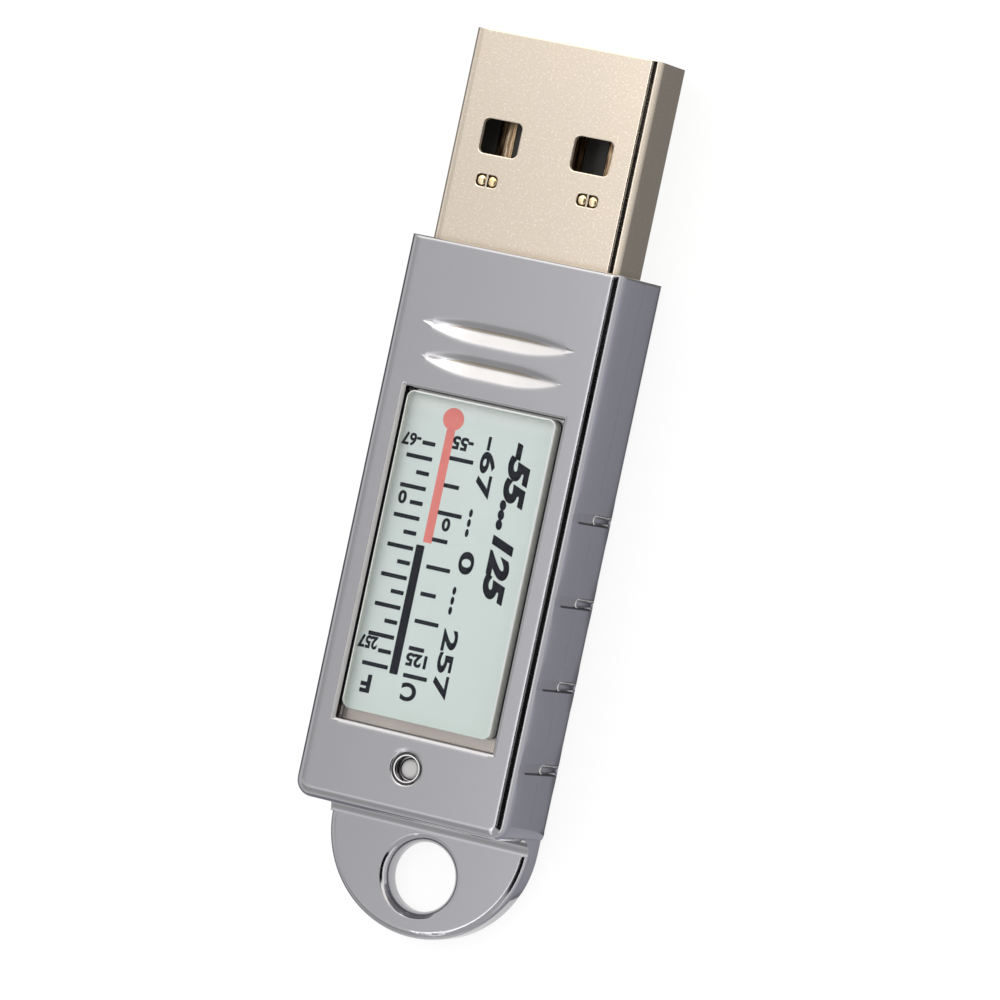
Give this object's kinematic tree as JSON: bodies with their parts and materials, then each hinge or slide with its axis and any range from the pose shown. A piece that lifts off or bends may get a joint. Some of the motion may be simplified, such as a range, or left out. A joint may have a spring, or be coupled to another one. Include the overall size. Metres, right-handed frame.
{
  "type": "temperature data logger",
  "caption": "Metal stick thermometer with a USB-A plug at one end, a key-ring lug at the other, and a clear-covered printed scale and a lamp hole on its face.",
  "frame": {"origin": "on the flat back, under the middle of the whole length and width", "axes": "+Y along the stick towards the plug's tip, +Z out of the display face, +X to the right when the display face is seen with the plug up"},
  "size_m": [0.0138, 0.0536, 0.0074],
  "materials": {
    "housing_metal": "satin chrome plating on a zinc casting",
    "plug_metal": "pale champagne nickel plating with a fine grain",
    "contact_gold": "thin gold plating",
    "insulator": "moulded black plastic",
    "label_film": "pale green-white printed film",
    "label_clear": "clear, glossy, with a bevelled edge",
    "tape": "thin double-sided tape",
    "light_pipe": "milky clear",
    "led": "white body with a clear lens",
    "board": "green solder mask",
    "chip": "moulded black package with tinned leads",
    "crystal_can": "drawn metal can",
    "resistor": "black film between tinned ends",
    "capacitor": "tan ceramic between tinned ends",
    "solder": "bright solder",
    "liner": "thin amber film"
  },
  "bodies": {
    "root": {"front_shell": "housing_metal", "rear_shell": "housing_metal", "label_tape": "tape", "label_sheet": "label_film", "label_lens": "label_clear", "light_pipe": "light_pipe", "status_led": "led", "plug_shell": "plug_metal", "plug_insulator": "insulator", "contact_power": "contact_gold", "contact_data_minus": "contact_gold", "contact_data_plus": "contact_gold", "contact_ground": "contact_gold", "circuit_board": "board", "microcontroller": "chip", "temperature_sensor": "chip", "memory_chip": "chip", "crystal": "crystal_can", "resistors": "resistor", "capacitors": "capacitor", "solder_joints": "solder", "insulating_sheet": "liner"}
  },
  "joints": []
}
